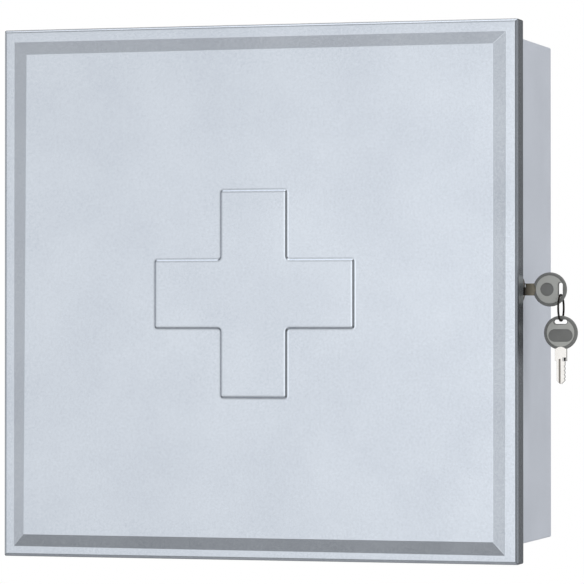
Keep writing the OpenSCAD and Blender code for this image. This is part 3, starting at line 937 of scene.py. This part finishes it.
@dataclass
class Body:
    """The folded body, its back panel, and the shelves on their brackets."""

    sheet: float = 1.0
    fold: float = 1.4
    front_flange: float = 11.0
    back_flange: float = 14.0
    back_t: float = 1.0
    # The corners of the folded outline are never rounded by less than this
    fold_least: float = 0.4
    # Radii along the sheet's section: front edge, rear edge, the back panel's seat, then the
    # rear and the front flange
    bends: tuple[float, ...] = (1.2, 0.3, 0.3, 0.2, 0.4, 0.4, 0.5, 0.3, 0.4, 0.4)
    # Radii along a shelf's section, from the front lip's foot over the top and back inside
    shelf_bends: tuple[float, ...] = (0.3, 1.4, 1.4, 0.3, 0.3, 0.4, 0.4, 0.3)
    # The lock's hole is round with two flats, each round side in this many chords, and its
    # cutter reaches this far in and out from the wall's face
    lock_hole_r: float = 7.95
    lock_hole_flat: float = 7.15
    lock_hole_chords: int = 8
    cutter_half: float = 3.0
    panel_edge: float = 0.2
    bracket_edge: float = 0.25
    steps: int = 4

    def build(self) -> None:
        """Builds all the pieces of the body."""
        self.fold_body()
        copied("back_panel", "rear_panel", self.panel_edge)
        for level in ("upper", "lower"):
            self.fold_shelf(level)
        copied("shelf_brackets", "shelf_angles", self.bracket_edge)

    def fold_body(self) -> None:
        """Builds the body's sheet, with its flanges, and cuts the lock's hole in its wall."""
        low, high = box_mm("cabinet_shell")
        outline = Rect(low.x, high.x, low.z, high.z)
        t, seat = self.sheet, high.y - self.back_t
        line = [
            (0, low.y),
            (0, high.y),
            (t, high.y),
            (t, seat),
            (t + self.back_flange, seat),
            (t + self.back_flange, seat - t),
            (t, seat - t),
            (t, low.y + t),
            (t + self.front_flange, low.y + t),
            (t + self.front_flange, low.y),
        ]
        section = rounded(line, self.bends, self.steps)
        made = Solid()
        made.skin(
            [
                outline.inset(d).ring(y, max(self.fold_least, self.fold - min(d, t)))
                for d, y in section
            ],
            closed=True,
        )
        body = place(made.mesh("body_shell"), "body_shell", ["cabinet_shell"])
        tool = Solid()
        lock_low, lock_high = box_mm("lock_housing")
        y, z = (lock_low.y + lock_high.y) / 2, (lock_low.z + lock_high.z) / 2
        turn = math.acos(self.lock_hole_flat / self.lock_hole_r)
        outline_yz = []
        for side in (1, -1):
            for k in range(self.lock_hole_chords + 1):
                a = turn + (math.pi - 2 * turn) * k / self.lock_hole_chords
                out = Vector((math.cos(a), math.sin(a))) * side * self.lock_hole_r
                outline_yz.append((y + out.x, z + out.y))
        tool.prism(outline_yz, high.x - self.cutter_half, high.x + self.cutter_half)
        cut(body, tool)

    def fold_shelf(self, level: str) -> None:
        """Builds one shelf, a sheet with its front and rear lips folded down."""
        low, high = box_mm(f"shelf_{level}")
        t = self.sheet
        front, rear, top, foot = low.y, high.y, high.z, low.z
        line = [
            (front, foot),
            (front, top),
            (rear, top),
            (rear, foot),
            (rear - t, foot),
            (rear - t, top - t),
            (front + t, top - t),
            (front + t, foot),
        ]
        made = Solid()
        made.prism(rounded(line, self.shelf_bends, self.steps), low.x, high.x)
        name = f"folded_shelf_{level}"
        place(made.mesh(name), name, [f"shelf_{level}"])


@dataclass
class Fittings:
    """Hinges, buffers, strike and their fixings."""

    pressed_edge: float = 0.25
    turned_edge: float = 0.2
    countersunk_edge: float = 0.1
    rubber_edge: float = 0.4

    def build(self) -> None:
        """Builds the fittings from their CAD shapes."""
        for level in ("upper", "lower"):
            copied(f"hinge_leaf_body_{level}", f"body_leaf_{level}", self.pressed_edge)
            copied(f"hinge_leaf_door_{level}", f"door_leaf_{level}", self.pressed_edge)
            copied(f"hinge_pin_{level}", f"pin_{level}", self.turned_edge)
        copied("hinge_rivets", "leaf_rivets", self.turned_edge)
        copied("hinge_screws", "leaf_screws", self.countersunk_edge)
        copied("door_buffers", "rubber_buffers", self.rubber_edge)
        copied("strike_bracket", "cam_strike", self.pressed_edge)
        copied("strike_screws", "cam_strike_screws", self.turned_edge)


@dataclass
class Lock:
    """The cam lock."""

    cast_edge: float = 0.25
    nut_edge: float = 0.3
    turned_edge: float = 0.15
    wafer_edge: float = 0.05
    stamped_edge: float = 0.2

    def build(self) -> None:
        """Builds the lock's pieces from their CAD shapes."""
        copied("lock_housing", "lock_barrel", self.cast_edge)
        copied("lock_nut", "barrel_nut", self.nut_edge)
        copied("lock_plug", "turning_plug", self.turned_edge)
        copied("lock_wafers", "wafer_stack", self.wafer_edge)
        copied("lock_cam", "lock_tongue", self.stamped_edge)
        copied("cam_washer", "tongue_washer", self.turned_edge)
        copied("cam_screw", "tongue_screw", self.turned_edge)


@dataclass
class SplitRing:
    """A ring wound of two turns of wire, with its two ends side by side."""

    wire_deep: float = 1.2
    wire_wide: float = 0.76
    sides: int = 12
    steps: int = 144
    # Share of two full turns that the wire covers, and where it starts, in radians
    wound: float = 0.985
    start: float = 0.6
    # Share of its length over which it crosses to the other side, and how far apart the two
    # turns lie, in widths of the wire
    jog: float = 0.09
    pitch: float = 1.04
    # The blunt ends: their least share of the thickness, and how slowly they grow from it
    blunt_least: float = 0.4
    blunt_slow: float = 1.4

    def build(self) -> None:
        """Builds the wire along its two turns."""
        low, high = box_mm("key_ring")
        centre = (low + high) / 2
        radius = (high.z - low.z) / 2 - self.wire_deep / 2
        made = Solid()
        rings = []
        for k in range(self.steps + 1):
            share = k / self.steps
            turn = 4 * math.pi * share * self.wound + self.start
            step = min(1.0, max(0.0, (share - 0.5) / self.jog + 0.5))
            side = (step * step * (3 - 2 * step) - 0.5) * self.wire_wide * self.pitch
            out = Vector((0, math.sin(turn), math.cos(turn)))
            spot = centre + out * radius + Vector((side, 0, 0))
            to_end = max(0.0, min(share, 1 - share)) * self.steps
            blunt = min(1.0, math.sqrt(to_end) / self.blunt_slow + self.blunt_least)
            ring = []
            for i in range(self.sides):
                a = 2 * math.pi * i / self.sides
                ring.append(
                    spot
                    + out * math.cos(a) * self.wire_deep / 2 * blunt
                    + Vector((1, 0, 0)) * math.sin(a) * self.wire_wide / 2 * blunt
                )
            rings.append(ring)
        made.loft(rings)
        place(made.mesh("split_ring"), "split_ring", ["key_ring"], finish=WIRE)


@dataclass
class Keys:
    """The key in the lock and the spare key."""

    edge: float = 0.12
    # How far the painted shade from the lock reaches along the key
    lock_shade_l: float = 8.0
    # The notch beside the spare key's shoulder, and the dark block of painted shade in it
    shoulder_l: float = 15.3
    notch_in: float = 0.75
    notch_w: float = 1.5
    notch_l: float = 2.6
    notch_r: float = 0.2
    notch_chords: int = 2
    fill_t: float = 1.2

    def build(self) -> None:
        """Builds both keys from their CAD shapes, and the ring that joins them."""
        low, high = box_mm("key_bow")
        plane = (low.y + high.y) / 2
        bow = Handled(**{**vars(ABS), "name": "rubbed_grey_abs", "plane": plane})
        shade_painted_nickel = {**vars(NICKEL), "name": "nickel_plate_with_painted_shade", "plane": plane}
        # Painted shade in the spare key's grooves.
        spare = KeyShadePainted(**{**shade_painted_nickel, "painted_shade": "#86807a"})
        # Painted shade in the grooves of the key in use, and dark painted shade at the lock's
        # face.
        used = KeyShadePainted(
            **{
                **shade_painted_nickel,
                "name": "worn_nickel_silver",
                "colour": "#a79e8a",
                "shade": "#918875",
                "metallic": 0.6,
                "lock_face": box_mm("lock_plug")[1].x,
                "reach": self.lock_shade_l,
            }
        )
        copied("key_blade", "blade", self.edge, used)
        copied("spare_key_blade", "spare_blade", self.edge, spare)
        self.fill_notch_shade()
        copied("key_bow", "bow", self.edge, bow)
        copied("spare_key_bow", "spare_bow", self.edge, bow)
        SplitRing().build()

    def fill_notch_shade(self) -> None:
        """Fills the notch beside the spare key's shoulder with a dark block of painted shade,
        below the faces.
        """
        low, high = box_mm("spare_key_blade")
        right, foot = high.x - self.notch_in, high.z - self.shoulder_l
        middle = (low.y + high.y) / 2
        fill = Rect(right - self.notch_w, right, foot, foot + self.notch_l)
        made = Solid()
        sides = [middle - self.fill_t / 2, middle + self.fill_t / 2]
        rings = [fill.ring(y, self.notch_r, self.notch_chords) for y in sides]
        front, back = made.skin(rings)
        made.fill(front)
        made.fill(back)
        # The block is painted shade: dark where the notch only lies in shade.
        place(made.mesh("notch_shade_fill"), "notch_shade_fill", ["spare_key_blade"], finish=NOTCH_SHADE)


# ---- The studio ----


@dataclass
class Studio:
    """Camera, light, floor and background."""

    # The camera: its place, how far it looks to the left and up, in degrees, its lens and
    # sensor, and how far it sees, in metres
    eye: tuple[float, float, float] = (801.2, -2808.9, -28.8)
    yaw: float = 16.288
    pitch: float = 0.579
    lens: float = 228.7
    sensor: float = 36.0
    sight: float = 60.0
    # Each lamp's place and side in metres, and its power in watts
    lamps: tuple[tuple[str, tuple[float, float, float], float, float], ...] = (
        ("soft_left", (-1.6, -2.2, 1.6), 1.6, 26.0),
        ("soft_right", (2.2, -1.2, 1.8), 1.4, 38.0),
    )
    # The floor: its height, half its side in metres, the clouds on it per metre, and how
    # rough it is
    floor_z: float = -1300.0
    floor_half: float = 3.0
    floor_clouds: float = 3.0
    floor_rough: float = 0.9
    # Strength of the even light from all round that surfaces scatter
    ambient: float = 0.95
    # Brightness of what surfaces mirror, by degrees round from the front, to the right, and
    # by degrees above the horizon: soft boxes with darker room between them
    around: tuple[Flat, ...] = (
        (-180, 0.1),
        (-150, 0.2),
        (-130, 0.5),
        (-60, 0.4),
        (-46, 0.42),
        (-42, 0.55),
        (-38, 0.67),
        (-28, 0.84),
        (-20, 1.0),
        (-12, 1.08),
        (-9, 1.2),
        (-6, 1.7),
        (-2, 1.8),
        (1, 1.3),
        (5, 0.66),
        (14, 0.38),
        (30, 0.18),
        (60, 0.17),
        (95, 0.34),
        (118, 0.17),
        (158, 0.12),
        (180, 0.1),
    )
    above: tuple[Flat, ...] = (
        (-90, 0.42),
        (-60, 0.38),
        (-35, 0.24),
        (-19, 0.27),
        (-15, 0.42),
        (-9, 0.84),
        (-4, 0.93),
        (0, 0.99),
        (5, 0.985),
        (8, 0.78),
        (19, 0.61),
        (45, 0.45),
        (58, 0.8),
        (66, 1.5),
        (90, 1.6),
    )
    # From where to where, in degrees above or below, the direction stops mattering
    pole: Flat = (45.0, 72.0)
    # The factor that directions round from the front are taken times: it runs between two
    # values while the tilt goes from this far below the horizon to as far above, in radians
    fan: float = 0.35
    fan_by: Flat = (0.75, 1.25)
    # The brightest that a ramp can hold
    ramp_top: float = 2.0

    def build(self) -> None:
        """Builds the studio."""
        self.aim()
        self.light()
        self.lay_floor()
        self.surround()
        bpy.context.scene.view_settings.view_transform = "Standard"

    def aim(self) -> None:
        """Sets the camera at the photograph's place."""
        data = bpy.data.cameras.new("camera")
        data.lens = self.lens
        data.sensor_width = self.sensor
        data.clip_end = self.sight
        camera = bpy.data.objects.new("camera", data)
        bpy.context.scene.collection.objects.link(camera)
        camera.location = Vector(self.eye) * MM
        camera.rotation_euler = (math.radians(90 + self.pitch), 0, math.radians(self.yaw))
        bpy.context.scene.camera = camera

    def light(self) -> None:
        """Hangs the soft lamps, above on the left and the right, aimed at the cabinet."""
        for name, spot, size, power in self.lamps:
            data = bpy.data.lights.new(name, "AREA")
            data.size = size
            data.energy = power
            lamp = bpy.data.objects.new(name, data)
            bpy.context.scene.collection.objects.link(lamp)
            lamp.location = spot
            lamp.rotation_euler = (-Vector(spot)).to_track_quat("-Z", "Y").to_euler()
            lamp.visible_glossy = False

    def lay_floor(self) -> None:
        """Lays a pale floor well below the wall cabinet."""
        mesh = bpy.data.meshes.new("floor")
        half, z = self.floor_half, self.floor_z * MM
        corners = [(-half, -half, z), (half, -half, z), (half, half, z), (-half, half, z)]
        mesh.from_pydata(corners, [], [(0, 1, 2, 3)])
        floor = bpy.data.objects.new("floor", mesh)
        bpy.context.scene.collection.objects.link(floor)
        made = bpy.data.materials.new("pale_floor")
        made.use_nodes = True
        tree = made.node_tree
        tree.nodes.clear()
        spot = add(tree, "ShaderNodeTexCoord").outputs["Object"]
        cloud = add(tree, "ShaderNodeTexNoise", {"Vector": spot, "Scale": self.floor_clouds})
        tone = add(
            tree,
            "ShaderNodeMix",
            {0: cloud.outputs[0], 6: linear("#f4f4f4"), 7: linear("#fbfbfb")},
            data_type="RGBA",
        )
        shader = add(
            tree,
            "ShaderNodeBsdfPrincipled",
            {"Base Color": tone.outputs[2], "Roughness": self.floor_rough},
        )
        add(tree, "ShaderNodeOutputMaterial", {0: shader.outputs[0]})
        mesh.materials.append(made)
        floor.visible_glossy = False

    def ramp(
        self,
        tree: bpy.types.NodeTree,
        angle: bpy.types.NodeSocket,
        stops: Sequence[Flat],
    ) -> bpy.types.NodeSocket:
        """Adds a curve of brightness over an angle.

        Args:
            tree: The world's nodes.
            angle: The angle, in radians.
            stops: Degrees with their brightness, up to the brightest that it can hold.

        Returns:
            The brightness.
        """
        first, last = math.radians(stops[0][0]), math.radians(stops[-1][0])
        share = add(tree, "ShaderNodeMapRange", {0: angle, 1: first, 2: last, 3: 0.0, 4: 1.0})
        curve = add(tree, "ShaderNodeValToRGB", {0: share.outputs[0]})
        elements = curve.color_ramp.elements
        span = stops[-1][0] - stops[0][0]
        for i, (degrees, value) in enumerate(stops):
            spot = (degrees - stops[0][0]) / span
            if i == 0:
                stop = elements[0]
            elif i == len(stops) - 1:
                stop = elements[-1]
            else:
                stop = elements.new(spot)
            stop.position = spot
            grey = value / self.ramp_top
            stop.color = (grey, grey, grey, 1)
        scaled = add(
            tree,
            "ShaderNodeMath",
            {0: curve.outputs[0], 1: self.ramp_top},
            operation="MULTIPLY",
        )
        return scaled.outputs[0]

    def surround(self) -> None:
        """Makes the world: white to the camera, even light, and soft boxes for metal."""
        world = bpy.data.worlds.new("studio")
        bpy.context.scene.world = world
        world.use_nodes = True
        tree = world.node_tree
        tree.nodes.clear()
        way = add(tree, "ShaderNodeTexCoord").outputs["Generated"]
        parts = add(tree, "ShaderNodeSeparateXYZ", {0: way})
        forward = add(
            tree, "ShaderNodeMath", {0: parts.outputs[1], 1: -1.0}, operation="MULTIPLY"
        )
        turn = add(
            tree,
            "ShaderNodeMath",
            {0: parts.outputs[0], 1: forward.outputs[0]},
            operation="ARCTAN2",
        )
        tilt = add(tree, "ShaderNodeMath", {0: parts.outputs[2]}, operation="ARCSINE")
        steep = add(tree, "ShaderNodeMath", {0: tilt.outputs[0]}, operation="ABSOLUTE")
        below, above = self.fan_by
        wider = add(
            tree,
            "ShaderNodeMapRange",
            {0: tilt.outputs[0], 1: -self.fan, 2: self.fan, 3: below, 4: above},
        )
        fanned = add(
            tree,
            "ShaderNodeMath",
            {0: turn.outputs[0], 1: wider.outputs[0]},
            operation="MULTIPLY",
        )
        start, end = (math.radians(angle) for angle in self.pole)
        near_pole = add(
            tree, "ShaderNodeMapRange", {0: steep.outputs[0], 1: start, 2: end, 3: 0.0, 4: 1.0}
        )
        sideways = add(
            tree,
            "ShaderNodeMix",
            {0: near_pole.outputs[0], 2: self.ramp(tree, fanned.outputs[0], self.around), 3: 1.0},
            data_type="FLOAT",
        )
        boxes = add(
            tree,
            "ShaderNodeMath",
            {0: sideways.outputs[0], 1: self.ramp(tree, tilt.outputs[0], self.above)},
            operation="MULTIPLY",
        )
        path = add(tree, "ShaderNodeLightPath")
        metal = add(
            tree,
            "ShaderNodeMix",
            {0: path.outputs["Is Glossy Ray"], 2: self.ambient, 3: boxes.outputs[0]},
            data_type="FLOAT",
        )
        seen = add(
            tree,
            "ShaderNodeMath",
            {0: path.outputs["Is Camera Ray"], 1: path.outputs["Is Transmission Ray"]},
            operation="MAXIMUM",
        )
        strength = add(
            tree,
            "ShaderNodeMix",
            {0: seen.outputs[0], 2: metal.outputs[0], 3: 1.0},
            data_type="FLOAT",
        )
        sky = add(
            tree,
            "ShaderNodeBackground",
            {"Color": (1, 1, 1, 1), "Strength": strength.outputs[0]},
        )
        add(tree, "ShaderNodeOutputWorld", {0: sky.outputs[0]})


def main() -> None:
    """Builds the cabinet's pieces in order, then the studio."""
    logging.basicConfig(level=logging.INFO, format="%(name)s: %(message)s")
    for part in (Body(), Door(), Fittings(), Lock(), Keys(), Studio()):
        LOG.info("building %s", type(part).__name__)
        part.build()


if __name__ == "__main__":
    main()
